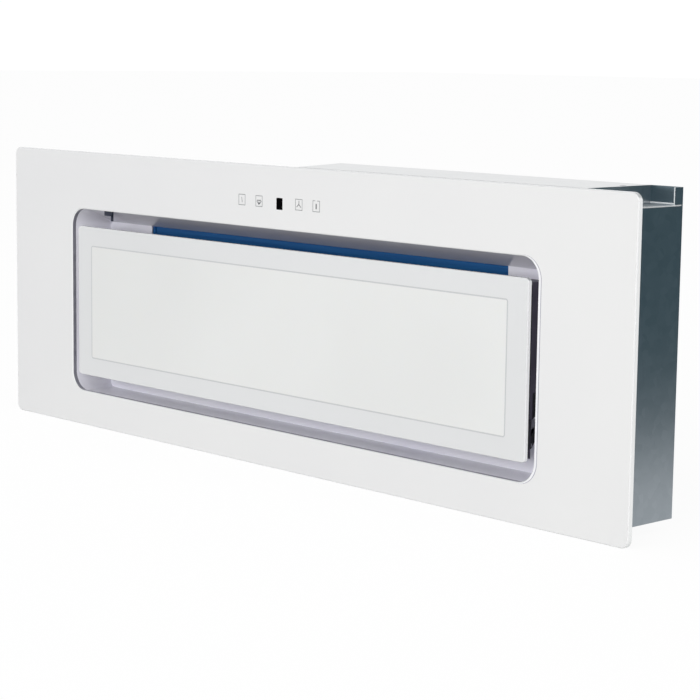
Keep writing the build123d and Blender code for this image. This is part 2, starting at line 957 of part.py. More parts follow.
def make_hinge_pins():
    length = arm_x + arm_t + 0.4 - lug_x
    with BuildPart() as hinge_pins:
        for x in (lug_x, -lug_x - length):
            with BuildSketch(side(x)):
                with Locations((hinge_y, hinge_z)):
                    Circle(hinge_pin_r)
            extrude(amount=length)
    hinge_pins.part.label = "hinge_pins"
    return hinge_pins


def make_catch_housings():
    with BuildPart() as catch_housings:
        with BuildSketch(front(floor_y - catch_len)):
            with Locations((-catch_x, catch_z), (catch_x, catch_z)):
                RectangleRounded(catch_w, catch_w, 3)
                Circle(plunger_r + pin_play, mode=Mode.SUBTRACT)
        extrude(amount=-catch_len)
    catch_housings.part.label = "catch_housings"
    return catch_housings


def make_catch_plunger(x, name):
    tip_y = tray_y + tray_depth + plunger_gap
    with BuildPart() as plunger:
        with BuildSketch(front(tip_y)):
            with Locations((x, catch_z)):
                Circle(plunger_r)
        extrude(amount=-(floor_y - catch_len - tip_y + plunger_tail))
    plunger.part.label = name
    return plunger


front_glass = make_front_glass()
recess_surround = make_recess_surround()
body_shell = make_body_shell()
back_panel = make_back_panel()
wiring_cover = make_wiring_cover()
motor_box = make_motor_box()
duct_spigot = make_duct_spigot()
damper_pin = make_damper_pin()
damper_flap_left = make_damper_flap(-1, "damper_flap_left")
damper_flap_right = make_damper_flap(1, "damper_flap_right")
scroll_housing = make_scroll_housing()
inlet_rings = make_inlet_rings()
impeller = make_impeller()
motor_shaft = make_motor_shaft()
motor = make_motor()
motor_bracket = make_motor_bracket()
capacitor = make_capacitor()
capacitor_clip = make_capacitor_clip()
control_box = make_control_box()
control_lid = make_control_lid()
control_board = make_control_board()
terminal_block = make_terminal_block()
cable_gland = make_cable_gland()
touch_board = make_touch_board()
display_module = make_display_module()
filter_frame = make_filter_frame()
filter_mesh = make_filter_mesh()
filter_latch_left = make_filter_latch(filter_mid_x - filter_latch_x, "filter_latch_left")
filter_latch_right = make_filter_latch(filter_mid_x + filter_latch_x, "filter_latch_right")
panel_glass = make_panel_glass()
light_tray = make_light_tray()
diffuser = make_diffuser()
light_guide = make_light_guide()
reflector_sheet = make_reflector_sheet()
led_strips = make_led_strips()
led_driver = make_led_driver()
hinge_brackets = make_hinge_brackets()
hinge_pins = make_hinge_pins()
catch_housings = make_catch_housings()
catch_plunger_left = make_catch_plunger(-catch_x, "catch_plunger_left")
catch_plunger_right = make_catch_plunger(catch_x, "catch_plunger_right")

os.makedirs("parts", exist_ok=True)
export_step(front_glass.part, "parts/front_glass.step")
export_step(recess_surround.part, "parts/recess_surround.step")
export_step(body_shell.part, "parts/body_shell.step")
export_step(back_panel.part, "parts/back_panel.step")
export_step(wiring_cover.part, "parts/wiring_cover.step")
export_step(motor_box.part, "parts/motor_box.step")
export_step(duct_spigot.part, "parts/duct_spigot.step")
export_step(damper_pin.part, "parts/damper_pin.step")
export_step(damper_flap_left.part, "parts/damper_flap_left.step")
export_step(damper_flap_right.part, "parts/damper_flap_right.step")
export_step(scroll_housing.part, "parts/scroll_housing.step")
export_step(inlet_rings.part, "parts/inlet_rings.step")
export_step(impeller.part, "parts/impeller.step")
export_step(motor_shaft.part, "parts/motor_shaft.step")
export_step(motor.part, "parts/motor.step")
export_step(motor_bracket.part, "parts/motor_bracket.step")
export_step(capacitor.part, "parts/capacitor.step")
export_step(capacitor_clip.part, "parts/capacitor_clip.step")
export_step(control_box.part, "parts/control_box.step")
export_step(control_lid.part, "parts/control_lid.step")
export_step(control_board.part, "parts/control_board.step")
export_step(terminal_block.part, "parts/terminal_block.step")
export_step(cable_gland.part, "parts/cable_gland.step")
export_step(touch_board.part, "parts/touch_board.step")
export_step(display_module.part, "parts/display_module.step")
export_step(filter_frame.part, "parts/filter_frame.step")
export_step(filter_mesh.part, "parts/filter_mesh.step")
export_step(filter_latch_left.part, "parts/filter_latch_left.step")
export_step(filter_latch_right.part, "parts/filter_latch_right.step")
export_step(panel_glass.part, "parts/panel_glass.step")
export_step(light_tray.part, "parts/light_tray.step")
export_step(diffuser.part, "parts/diffuser.step")
export_step(light_guide.part, "parts/light_guide.step")
export_step(reflector_sheet.part, "parts/reflector_sheet.step")
export_step(led_strips.part, "parts/led_strips.step")
export_step(led_driver.part, "parts/led_driver.step")
export_step(hinge_brackets.part, "parts/hinge_brackets.step")
export_step(hinge_pins.part, "parts/hinge_pins.step")
export_step(catch_housings.part, "parts/catch_housings.step")
export_step(catch_plunger_left.part, "parts/catch_plunger_left.step")
export_step(catch_plunger_right.part, "parts/catch_plunger_right.step")
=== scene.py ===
from math import cos, pi, radians, sin

import bmesh
import bpy
from mathutils import Matrix, Vector


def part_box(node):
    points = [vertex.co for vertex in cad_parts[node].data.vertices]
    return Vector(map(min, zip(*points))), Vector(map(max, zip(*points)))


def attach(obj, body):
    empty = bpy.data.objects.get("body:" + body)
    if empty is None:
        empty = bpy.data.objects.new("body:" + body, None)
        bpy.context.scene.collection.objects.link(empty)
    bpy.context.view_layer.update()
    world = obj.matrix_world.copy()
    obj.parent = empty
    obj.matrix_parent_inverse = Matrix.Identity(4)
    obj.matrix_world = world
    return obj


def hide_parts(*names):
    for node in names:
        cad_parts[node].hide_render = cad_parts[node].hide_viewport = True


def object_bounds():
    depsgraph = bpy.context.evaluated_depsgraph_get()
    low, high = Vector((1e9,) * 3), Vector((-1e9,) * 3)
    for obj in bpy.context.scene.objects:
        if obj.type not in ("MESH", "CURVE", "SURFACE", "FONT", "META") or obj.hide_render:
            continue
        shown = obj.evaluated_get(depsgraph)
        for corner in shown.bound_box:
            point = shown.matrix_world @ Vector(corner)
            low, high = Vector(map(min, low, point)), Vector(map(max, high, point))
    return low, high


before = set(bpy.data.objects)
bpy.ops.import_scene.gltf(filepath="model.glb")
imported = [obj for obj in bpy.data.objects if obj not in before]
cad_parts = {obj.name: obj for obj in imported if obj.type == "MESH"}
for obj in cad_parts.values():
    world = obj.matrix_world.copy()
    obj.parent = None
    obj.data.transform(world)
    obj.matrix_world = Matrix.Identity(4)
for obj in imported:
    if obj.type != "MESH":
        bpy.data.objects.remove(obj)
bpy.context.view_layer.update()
mm = 0.001

# Sheet body: a shallow box folded from one millimetre hot-dip galvanised steel, with a rear
# sheet spot-fixed to its flanges and a low wiring cover on top. Bright zinc mirrors the
# studio softly, so the side facing the camera goes from dark above to pale near the floor.
body_low, body_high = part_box("body_shell")
sheet_t = 1 * mm
tab_foot = body_low.z + 276 * mm
zinc_dark = "#c3c8cb"
zinc_pale = "#cfd3d6"
# The tab's darker, bluer zinc is painted shade in the corner behind the cover.
zinc_painted_shade = "#a4b9c4"
zinc_roughness = 0.30
zinc_spangle = 7 * mm
zinc_cloud = 1000 * mm / 7
zinc_rolling_line = 0.7 * mm
zinc_rolling_length = 250 * mm


def linear(hex_colour):
    # An sRGB hex value as a linear colour with full alpha.
    parts = [int(hex_colour[i:i + 2], 16) / 255 for i in (1, 3, 5)]
    return [p / 12.92 if p <= 0.04045 else ((p + 0.055) / 1.055) ** 2.4 for p in parts] + [1.0]


def add(tree, kind, inputs=None, **settings):
    # One node with its settings, its values and the links into it.
    node = tree.nodes.new(kind)
    for name, value in settings.items():
        setattr(node, name, value)
    for name, value in (inputs or {}).items():
        if isinstance(value, bpy.types.NodeSocket):
            tree.links.new(value, node.inputs[name])
        else:
            node.inputs[name].default_value = value
    return node


def start_finish(name, roughness, metallic=0.0):
    # A new material: its tree, its shader and the object's own coordinates in metres.
    material = bpy.data.materials.new(name)
    material.use_nodes = True
    tree = material.node_tree
    shader = tree.nodes["Principled BSDF"]
    shader.inputs["Roughness"].default_value = roughness
    shader.inputs["Metallic"].default_value = metallic
    place = add(tree, "ShaderNodeTexCoord").outputs["Object"]
    return material, tree, shader, place


def tint(tree, shader, pattern, low, high, dark, pale):
    # The base colour runs from dark to pale where the pattern runs from low to high.
    ramp = add(tree, "ShaderNodeValToRGB", {"Fac": pattern})
    ramp.color_ramp.elements[0].position = low
    ramp.color_ramp.elements[0].color = linear(dark)
    ramp.color_ramp.elements[1].position = high
    ramp.color_ramp.elements[1].color = linear(pale)
    tree.links.new(ramp.outputs["Color"], shader.inputs["Base Color"])
    return ramp.outputs["Color"]


def galvanised_steel(name, dark, pale, roughness, painted_shade_above=None):
    # Flat zinc crystals a few millimetres across under faint rolling lines. Above the given
    # height the zinc is drawn darker and bluer as painted shade, where the sheet is hidden from
    # the room in a corner.
    material, tree, shader, place = start_finish(name, roughness, 1.0)
    cells = add(tree, "ShaderNodeTexVoronoi", {"Vector": place, "Scale": 1 / zinc_spangle})
    clouds = add(
        tree, "ShaderNodeTexNoise", {"Vector": place, "Scale": 1 / zinc_cloud, "Detail": 3.0}
    )
    both = add(
        tree, "ShaderNodeMath", {0: cells.outputs["Color"], 1: clouds.outputs["Fac"]},
        operation="ADD",
    )
    half = add(tree, "ShaderNodeMath", {0: both.outputs[0], 1: 0.5}, operation="MULTIPLY")
    colour = tint(tree, shader, half.outputs[0], 0.25, 0.75, dark, pale)
    if painted_shade_above is not None:
        height = add(tree, "ShaderNodeSeparateXYZ", {0: place}).outputs["Z"]
        above = add(
            tree, "ShaderNodeMath", {0: height, 1: painted_shade_above}, operation="GREATER_THAN"
        )
        mixed = add(
            tree, "ShaderNodeMix",
            {0: above.outputs[0], 6: colour, 7: linear(zinc_painted_shade)}, data_type="RGBA",
        )
        tree.links.new(mixed.outputs[2], shader.inputs["Base Color"])
    rough = add(
        tree, "ShaderNodeMapRange",
        {"Value": cells.outputs["Color"], "To Min": roughness - 0.01, "To Max": roughness + 0.02},
    )
    tree.links.new(rough.outputs["Result"], shader.inputs["Roughness"])
    along = add(
        tree, "ShaderNodeMapping",
        {
            "Vector": place,
            "Scale": (1 / zinc_rolling_length, 1 / zinc_rolling_length, 1 / zinc_rolling_line),
        },
    )
    lines = add(tree, "ShaderNodeTexNoise", {"Vector": along.outputs[0], "Scale": 1.0})
    bump = add(
        tree, "ShaderNodeBump",
        {"Height": lines.outputs["Fac"], "Strength": 0.04, "Distance": 0.1 * mm},
    )
    tree.links.new(bump.outputs["Normal"], shader.inputs["Normal"])
    return material


def finish_node(material, *names):
    # A CAD node keeps its shape and takes this material in its slots.
    for name in names:
        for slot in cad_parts[name].material_slots:
            slot.material = material


zinc_sheet = galvanised_steel(
    "galvanised steel sheet", zinc_dark, zinc_pale, zinc_roughness
)
finish_node(zinc_sheet, "body_shell", "motor_box")
# Above the ledge the rear sheet is painted darker, as shade.
rear_zinc = galvanised_steel(
    "galvanised rear sheet", zinc_dark, zinc_pale, zinc_roughness, painted_shade_above=tab_foot
)
finish_node(rear_zinc, "back_panel")
# The cover is the body's zinc painted paler, a painted sheen that brightens its mirrored top.
cover_zinc_painted_sheen = galvanised_steel(
    "galvanised cover sheet", "#d9dbdc", "#e2e3e4", zinc_roughness
)
finish_node(cover_zinc_painted_sheen, "wiring_cover")

# Front glass: one 5 mm float glass, painted white on its back, with ground and polished edges.
# The glass surface alone is glossy; the white looks even. Its back is drawn dark grey as painted
# shade, and its edges carry a painted highlight and glow.
glass_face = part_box("front_glass")[0].y
glass_ior = 1.52
glass_roughness = 0.07
# Rim colours and glow are painted light: a painted highlight and glow on the side rims, painted
# shade on rims that face up and on the back.
glass_rim_and_glow = "#fafbfb"
glass_top_rim_painted_shade = "#c6c9ca"
painted_rim_glow = 0.24
no_glow = "#000000"
painted_shade_backing = "#3c484c"
paint_drift = 1000 * mm / 3
wipe_mark = 1000 * mm / 35


def painted_glass(name, dark, pale):
    # Even white with a faint drift behind a very smooth face. Where the surface turns away from
    # the front it is the clear ground edge, drawn bright as a painted highlight, but greyer where
    # it faces up as painted shade. At the back it is dark grey, painted shade.
    material, tree, shader, place = start_finish(name, glass_roughness)
    shader.inputs["IOR"].default_value = glass_ior
    drift = add(
        tree, "ShaderNodeTexNoise", {"Vector": place, "Scale": 1 / paint_drift, "Detail": 2.0}
    )
    paint = tint(tree, shader, drift.outputs["Fac"], 0.35, 0.65, dark, pale)
    turned = add(tree, "ShaderNodeTexCoord").outputs["Normal"]
    facing = add(tree, "ShaderNodeSeparateXYZ", {0: turned})
    rim = add(
        tree, "ShaderNodeMapRange",
        {"Value": facing.outputs["Y"], "From Min": -0.8, "From Max": -0.6},
    ).outputs["Result"]
    rear = add(
        tree, "ShaderNodeMapRange",
        {"Value": facing.outputs["Y"], "From Min": 0.6, "From Max": 0.8},
    ).outputs["Result"]
    upward = add(
        tree, "ShaderNodeMapRange",
        {"Value": facing.outputs["Z"], "From Min": 0.3, "From Max": 0.6},
    ).outputs["Result"]
    painted_edge_tone = add(
        tree, "ShaderNodeMix",
        {0: upward, 6: linear(glass_rim_and_glow), 7: linear(glass_top_rim_painted_shade)}, data_type="RGBA",
    )
    painted_edge_glow = add(
        tree, "ShaderNodeMix",
        {0: upward, 6: linear(glass_rim_and_glow), 7: linear(no_glow)}, data_type="RGBA",
    )
    edged = add(
        tree, "ShaderNodeMix",
        {0: rim, 6: paint, 7: painted_edge_tone.outputs[2]}, data_type="RGBA",
    )
    painted_shade_backed = add(
        tree, "ShaderNodeMix",
        {0: rear, 6: edged.outputs[2], 7: linear(painted_shade_backing)}, data_type="RGBA",
    )
    tree.links.new(painted_shade_backed.outputs[2], shader.inputs["Base Color"])
    # The side and lower edges get a faint painted glow, an emission that stands in for light on
    # them; the back gets none.
    painted_glow_on_rims = add(
        tree, "ShaderNodeMix",
        {0: rim, 6: linear(no_glow), 7: painted_edge_glow.outputs[2]}, data_type="RGBA",
    )
    painted_glow = add(
        tree, "ShaderNodeMix",
        {0: rear, 6: painted_glow_on_rims.outputs[2], 7: linear(no_glow)}, data_type="RGBA",
    )
    tree.links.new(painted_glow.outputs[2], shader.inputs["Emission Color"])
    shader.inputs["Emission Strength"].default_value = painted_rim_glow
    wiped = add(
        tree, "ShaderNodeTexNoise", {"Vector": place, "Scale": 1 / wipe_mark, "Detail": 4.0}
    )
    rough = add(
        tree, "ShaderNodeMapRange",
        {
            "Value": wiped.outputs["Fac"],
            "To Min": glass_roughness - 0.02,
            "To Max": glass_roughness + 0.03,
        },
    )
    tree.links.new(rough.outputs["Result"], shader.inputs["Roughness"])
    return material


front_white = painted_glass("white back-painted glass", "#eaeaeb", "#eeeeee")
finish_node(front_white, "front_glass")

# Recess: a deep-drawn steel funnel behind the opening, powder coated white. The coat has
# the fine orange peel of powder paint under an even gloss.
peel_grain = 1.6 * mm
coat_drift = 1000 * mm / 12


def powder_coat(name, dark, pale, roughness, strength):
    # Baked powder: a faint drift in the colour under a peel of the given strength.
    material, tree, shader, place = start_finish(name, roughness)
    drift = add(
        tree, "ShaderNodeTexNoise", {"Vector": place, "Scale": 1 / coat_drift, "Detail": 3.0}
    )
    tint(tree, shader, drift.outputs["Fac"], 0.35, 0.65, dark, pale)
    peel = add(
        tree, "ShaderNodeTexNoise", {"Vector": place, "Scale": 1 / peel_grain, "Detail": 2.0}
    )
    bump = add(
        tree, "ShaderNodeBump",
        {"Height": peel.outputs["Fac"], "Strength": strength, "Distance": 0.2 * mm},
    )
    tree.links.new(bump.outputs["Normal"], shader.inputs["Normal"])
    return material


recess_white = powder_coat("white powder coat", "#f4f3fe", "#f8f7ff", 0.16, 0.05)
finish_node(recess_white, "recess_surround")

# Key marks: five marks screen printed in grey on the front glass, four outlined squares with
# a plain sign in each and a black display window in the middle. They are a film of ink.
ink_depth = 0.06 * mm
ink_mottle = 0.4 * mm
ink_roughness = 0.4
keys_start = -60
key_mid_z = 114.2 * mm
key_half_w = 4.8 * mm
key_half_h = 5.2 * mm
key_line = 0.55 * mm
sign_line = key_line * 1.2
power_key = 56
power_gap = 1.4 * mm
display_half_w = 4.5 * mm
display_half_h = 5.8 * mm
display_mid_x = 2.6 * mm
display_mid_z = 113.3 * mm
display_radius = 0.4 * mm


def new_piece(name, bm, material, body):
    # The finished mesh becomes a named piece that rides on its body.
    bmesh.ops.recalc_face_normals(bm, faces=bm.faces)
    mesh = bpy.data.meshes.new(name)
    bm.to_mesh(mesh)
    bm.free()
    piece = bpy.data.objects.new(name, mesh)
    bpy.context.scene.collection.objects.link(piece)
    mesh.materials.append(material)
    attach(piece, body)
    return piece


def ink_stroke(bm, points, width, face, depth, closed=False):
    # A mitred band of ink along points (x, z), from the glass face out by depth.
    count = len(points)
    flat = [Vector(p) for p in points]
    sides = []
    for i in range(count):
        before = flat[i] - flat[i - 1] if closed or i else flat[1] - flat[0]
        after = flat[(i + 1) % count] - flat[i] if closed or i < count - 1 else before
        normals = [Vector((-d.y, d.x)).normalized() for d in (before, after)]
        mitre = (normals[0] + normals[1]).normalized()
        reach = width / 2 / max(mitre.dot(normals[0]), 0.4)
        sides.append([flat[i] + mitre * reach, flat[i] - mitre * reach])
    rows = []
    for pair in sides:
        rows.append([bm.verts.new((p.x, y, p.y)) for y in (face, face - depth) for p in pair])
    for i in range(count if closed else count - 1):
        a, b = rows[i], rows[(i + 1) % count]
        bm.faces.new((a[0], b[0], b[2], a[2]))
        bm.faces.new((a[1], a[3], b[3], b[1]))
        bm.faces.new((a[2], b[2], b[3], a[3]))
        bm.faces.new((a[0], a[1], b[1], b[0]))
    if not closed:
        bm.faces.new((rows[0][0], rows[0][2], rows[0][3], rows[0][1]))
        bm.faces.new((rows[-1][0], rows[-1][1], rows[-1][3], rows[-1][2]))


def rounded_outline(half_w, half_h, centre_x, centre_z, radius, steps=8):
    # Points (x, z) of a rectangle with round corners, anticlockwise from its right side.
    points = []
    for turn, sx, sz in ((0, 1, 1), (90, -1, 1), (180, -1, -1), (270, 1, -1)):
        for i in range(steps + 1):
            angle = radians(turn + 90 * i / steps)
            points.append((
                centre_x + sx * (half_w - radius) + radius * cos(angle),
                centre_z + sz * (half_h - radius) + radius * sin(angle),
            ))
    return points


def printed_ink(name, dark, pale, roughness):
    # Ceramic ink: dead matt, with the slight mottle of a screen print. It has no gloss of its
    # own, so no reflection greys the thin lines.
    material, tree, shader, place = start_finish(name, roughness)
    shader.inputs["Specular IOR Level"].default_value = 0.0
    mottle = add(tree, "ShaderNodeTexNoise", {"Vector": place, "Scale": 1 / ink_mottle})
    tint(tree, shader, mottle.outputs["Fac"], 0.3, 0.7, dark, pale)
    return material


grey_ink = printed_ink("grey screen ink", "#7a7c7f", "#87898c", ink_roughness)
dark_ink = printed_ink("dark grey screen ink", "#505256", "#5c5e62", ink_roughness)
black_ink = printed_ink("black display window", "#050506", "#0b0b0d", ink_roughness)
# Each key's place right of the middle, its sign's ink, and the strokes of the sign as offsets
# from the key's middle, all in millimetres. A piece's number is its place right of the start.
keys = (
    (-54, grey_ink, [[(-0.5, 2.6), (0.5, -2.6)]]),
    (-28, dark_ink, [
        [(0, -3.4), (-3.1, -0.2), (-1.6, 1.2), (0, 0), (1.6, 1.2), (3.1, -0.2), (0, -3.4)],
        [(-1.2, -1.2), (0, -2.2), (1.2, -1.2)],
    ]),
    (31, dark_ink, [
        [(0, 0.4), (0.3, 3.8)],
        [(0, 0.4), (3.2, -2.6)],
        [(0, 0.4), (-3.2, -2.4)],
    ]),
    (power_key, dark_ink, [[(0.5, 2.4), (0.5, -2.8)], [(-0.5, 2.4), (-0.5, -2.8)]]),
)
for key_x, sign_ink, strokes in keys:
    number = key_x - keys_start
    bm = bmesh.new()
    outline = [
        (key_x * mm + sx * key_half_w, key_mid_z + sz * key_half_h)
        for sx, sz in ((-1, 1), (-1, -1), (1, -1), (1, 1))
    ]
    if key_x == power_key:
        # The on and off square is open at the top, either side of a short gap.
        top = key_mid_z + key_half_h
        outline.insert(0, (key_x * mm - power_gap, top))
        outline.append((key_x * mm + power_gap, top))
    ink_stroke(bm, outline, key_line, glass_face, ink_depth, closed=key_x != power_key)
    new_piece("key_square_%d" % number, bm, grey_ink, "housing")
    bm = bmesh.new()
    for stroke in strokes:
        placed = [(key_x * mm + x * mm, key_mid_z + z * mm) for x, z in stroke]
        ink_stroke(bm, placed, sign_line, glass_face, ink_depth)
    new_piece("key_sign_%d" % number, bm, sign_ink, "housing")


def flat_plate(bm, outline, front, back):
    # A plate with this outline (x, z) between two depths.
    near = [bm.verts.new((x, front, z)) for x, z in outline]
    far = [bm.verts.new((x, back, z)) for x, z in outline]
    bm.faces.new(near)
    bm.faces.new(far)
    for i in range(len(outline)):
        j = (i + 1) % len(outline)
        bm.faces.new((near[i], near[j], far[j], far[i]))


bm = bmesh.new()
display = rounded_outline(
    display_half_w, display_half_h, display_mid_x, display_mid_z, display_radius, 3
)
flat_plate(bm, display, glass_face - ink_depth, glass_face)
new_piece("display_window", bm, black_ink, "housing")

# Opening in the glass: its cut edge is ground matt and seen directly at the left. At the right a
# bright band of painted highlight stands for the clear edge seen through the face, and ends in a
# thin lilac line of paint drawn darker as painted shade.
opening_half_w = 342 * mm
opening_half_h = 100 * mm
opening_mid_z = -12 * mm
opening_radius = 20 * mm
corner_steps = 16
bevel = 0.8 * mm
glass_back = -85 * mm
film = 0.03 * mm
highlight_band_w = 2.3 * mm
paint_line_w = 0.8 * mm
edge_fleck = 1000 * mm / 120


def ring_plate(bm, inner, outer, front, back, closed=True):
    # A flat band between two lines of as many points, between two depths.
    loops = [
        [bm.verts.new((x, y, z)) for x, z in line]
        for line, y in ((inner, back), (inner, front), (outer, front), (outer, back))
    ]
    count = len(inner)
    for k in range(4):
        a, b = loops[k], loops[(k + 1) % 4]
        for i in range(count if closed else count - 1):
            j = (i + 1) % count
            bm.faces.new((a[i], a[j], b[j], b[i]))
    if not closed:
        for i in (0, -1):
            bm.faces.new([loop[i] for loop in loops])


def opening_line(out):
    # The opening's outline, moved out by this much.
    half_w = opening_half_w + out
    half_h = opening_half_h + out
    return rounded_outline(
        half_w, half_h, 0, opening_mid_z, opening_radius + out, corner_steps
    )


def right_side_line(least, out):
    # The opening's right side and its two corners, moved out most where it faces right.
    points = []
    for side, start in ((-1, -90), (1, 0)):
        for i in range(corner_steps + 1):
            angle = radians(start + 90 * i / corner_steps)
            reach = opening_radius + bevel + least + out * cos(angle)
            points.append((
                opening_half_w - opening_radius + reach * cos(angle),
                opening_mid_z + side * (opening_half_h - opening_radius) + reach * sin(angle),
            ))
    return points


def polished_edge(name, dark, pale, roughness):
    # Ground and polished glass edge: smooth and faintly cool.
    material, tree, shader, place = start_finish(name, roughness)
    shader.inputs["IOR"].default_value = glass_ior
    fleck = add(tree, "ShaderNodeTexNoise", {"Vector": place, "Scale": 1 / edge_fleck})
    tint(tree, shader, fleck.outputs["Fac"], 0.3, 0.7, dark, pale)
    return material


clear_edge_painted_highlight = polished_edge("polished glass edge", "#f3f4f8", "#fbfbfd", 0.12)
paint_edge_and_painted_shade = polished_edge("edge of the white paint", "#a9a7b4", "#b3b1bd", 0.12)
cut_edge = polished_edge("ground edge of the opening", "#8f8f99", "#9a9aa4", 0.2)
bm = bmesh.new()
ring_plate(bm, opening_line(-2 * film), opening_line(0), glass_face + bevel, glass_back)
new_piece("opening_cut_edge", bm, cut_edge, "housing")
# At the right side only: a painted highlight band, then the paint's edge as a line of painted
# shade.
highlight_band_from = right_side_line(0, 0)
highlight_band_to = right_side_line(film, highlight_band_w)
paint_to = right_side_line(2 * film, highlight_band_w + paint_line_w)
bm = bmesh.new()
ring_plate(bm, highlight_band_from, highlight_band_to, glass_face - film, glass_face, closed=False)
new_piece("opening_edge_highlight", bm, clear_edge_painted_highlight, "housing")
bm = bmesh.new()
ring_plate(bm, highlight_band_to, paint_to, glass_face - film, glass_face, closed=False)
new_piece("opening_paint_line", bm, paint_edge_and_painted_shade, "housing")

# Centre panel: a smaller back-painted glass bonded to a black folded tray. Its lamp window
# is an opal field, a touch lighter than the white border, with a thin grey line round it.
panel_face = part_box("panel_glass")[0].y
window_half_w = 306 * mm
window_top = 47.7 * mm
window_bottom = -73.4 * mm
window_mid = (window_top + window_bottom) / 2
window_half_h = (window_top - window_bottom) / 2
window_radius = 1.5 * mm
window_line = 1.3 * mm
window_depth = 0.04 * mm
line_depth = 0.05 * mm
acrylic_ior = 1.49
acrylic_cloud = 250 * mm
panel_white = painted_glass("white panel glass", "#e1e2e3", "#e5e6e7")
finish_node(panel_white, "panel_glass")


def opal_acrylic(name, dark, pale, roughness):
    # Opal acrylic: milky all through, with a soft satin face.
    material, tree, shader, place = start_finish(name, roughness)
    shader.inputs["IOR"].default_value = acrylic_ior
    shader.inputs["Subsurface Weight"].default_value = 0.05
    shader.inputs["Subsurface Scale"].default_value = 2 * mm
    cloud = add(
        tree, "ShaderNodeTexNoise", {"Vector": place, "Scale": 1 / acrylic_cloud, "Detail": 1.0}
    )
    tint(tree, shader, cloud.outputs["Fac"], 0.35, 0.65, dark, pale)
    return material


def window_outline(out):
    # The window's outline, moved out by this much.
    half_w = window_half_w + out
    half_h = window_half_h + out
    return rounded_outline(half_w, half_h, 0, window_mid, window_radius + out, 4)


opal_window = opal_acrylic("opal lamp window", "#eae9e7", "#efeeec", 0.1)
window_edge = printed_ink("grey window line", "#c4c5c7", "#cecfd1", 0.3)
bm = bmesh.new()
flat_plate(bm, window_outline(0), panel_face - window_depth, panel_face)
new_piece("lamp_window", bm, opal_window, "panel")
bm = bmesh.new()
ring_plate(
    bm, window_outline(0), window_outline(window_line), panel_face - line_depth, panel_face
)
new_piece("lamp_window_line", bm, window_edge, "panel")

# Lamp behind the window: a dotted acrylic light guide between an opal diffuser and a white
# reflector, lit from its long edges by two strips of small white diodes.
dot_pitch = 4 * mm
plastic_cloud = 40 * mm


def clear_acrylic(name):
    # Light guide: clear acrylic with rows of etched dots that scatter the light.
    material, tree, shader, place = start_finish(name, 0.06)
    shader.inputs["IOR"].default_value = acrylic_ior
    shader.inputs["Transmission Weight"].default_value = 0.6
    dots = add(
        tree, "ShaderNodeTexVoronoi",
        {"Vector": place, "Scale": 1 / dot_pitch, "Randomness": 0.0},
    )
    tint(tree, shader, dots.outputs["Distance"], 0.12, 0.2, "#ffffff", "#dfe6ea")
    return material


def moulded_plastic(name, dark, pale, roughness, grain, strength):
    # Injection-moulded plastic with a spark-eroded grain.
    material, tree, shader, place = start_finish(name, roughness)
    cloud = add(
        tree, "ShaderNodeTexNoise", {"Vector": place, "Scale": 1 / plastic_cloud, "Detail": 3.0}
    )
    tint(tree, shader, cloud.outputs["Fac"], 0.35, 0.65, dark, pale)
    texture = add(
        tree, "ShaderNodeTexNoise", {"Vector": place, "Scale": 1 / grain, "Detail": 2.0}
    )
    bump = add(
        tree, "ShaderNodeBump",
        {"Height": texture.outputs["Fac"], "Strength": strength, "Distance": 0.1 * mm},
    )
    tree.links.new(bump.outputs["Normal"], shader.inputs["Normal"])
    return material


finish_node(opal_acrylic("opal diffuser", "#e9e9ea", "#f0f0f0", 0.3), "diffuser")
finish_node(clear_acrylic("dotted light guide"), "light_guide")
finish_node(
    moulded_plastic("white reflector film", "#f0f0f0", "#f8f8f8", 0.6, 1.0 * mm, 0.05),
    "reflector_sheet",
)
finish_node(
    moulded_plastic("white lacquered strip", "#e9e9e4", "#f2f2ee", 0.4, 0.8 * mm, 0.05),
    "led_strips",
)
finish_node(
    moulded_plastic("white polycarbonate", "#dfdfdc", "#e9e9e6", 0.45, 0.9 * mm, 0.15),
    "led_driver",
)

# Tray: the panel's folded steel back, powder coated black with a fine leather texture. Its ends
# are clipped, with a black strip of painted shade against the glass, and it swings on steel pins
# in two lacquered arms.
tray_low, tray_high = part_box("light_tray")
tray_black = powder_coat("black powder coat", "#3f3c49", "#504c5b", 0.42, 0.35)
finish_node(tray_black, "light_tray")
bracket_black = powder_coat("black lacquered bracket", "#0d0c12", "#17161d", 0.35, 0.2)
finish_node(bracket_black, "hinge_brackets")
# Black for the clips, and for the strips on the tray's ends, which are painted shade.
clip_black_and_painted_shade = powder_coat("black sealant", "#101015", "#18171d", 0.5, 0.2)
# A darker copy of the tray's coat for its folds: painted shade.
fold_black_painted_shade = powder_coat("folded tray edge", "#211f29", "#2c2a35", 0.42, 0.3)
rivet_white = powder_coat("white rivet head", "#c4c4ca", "#d0d0d6", 0.4, 0.05)


def box_bar(bm, low, high):
    # A straight bar of sheet between two corners (x, y, z).
    near = [(low[0], low[2]), (high[0], low[2]), (high[0], high[2]), (low[0], high[2])]
    flat_plate(bm, near, low[1], high[1])


def end_bar(bm, side, out, depths, heights):
    # A bar on a tray end, from the end face out by a little, given in millimetres.
    x = (side * tray_high.x, side * (tray_high.x + out * mm))
    box_bar(
        bm,
        (min(x), tray_low.y + depths[0] * mm, heights[0] * mm),
        (max(x), tray_low.y + depths[1] * mm, heights[1] * mm),
    )


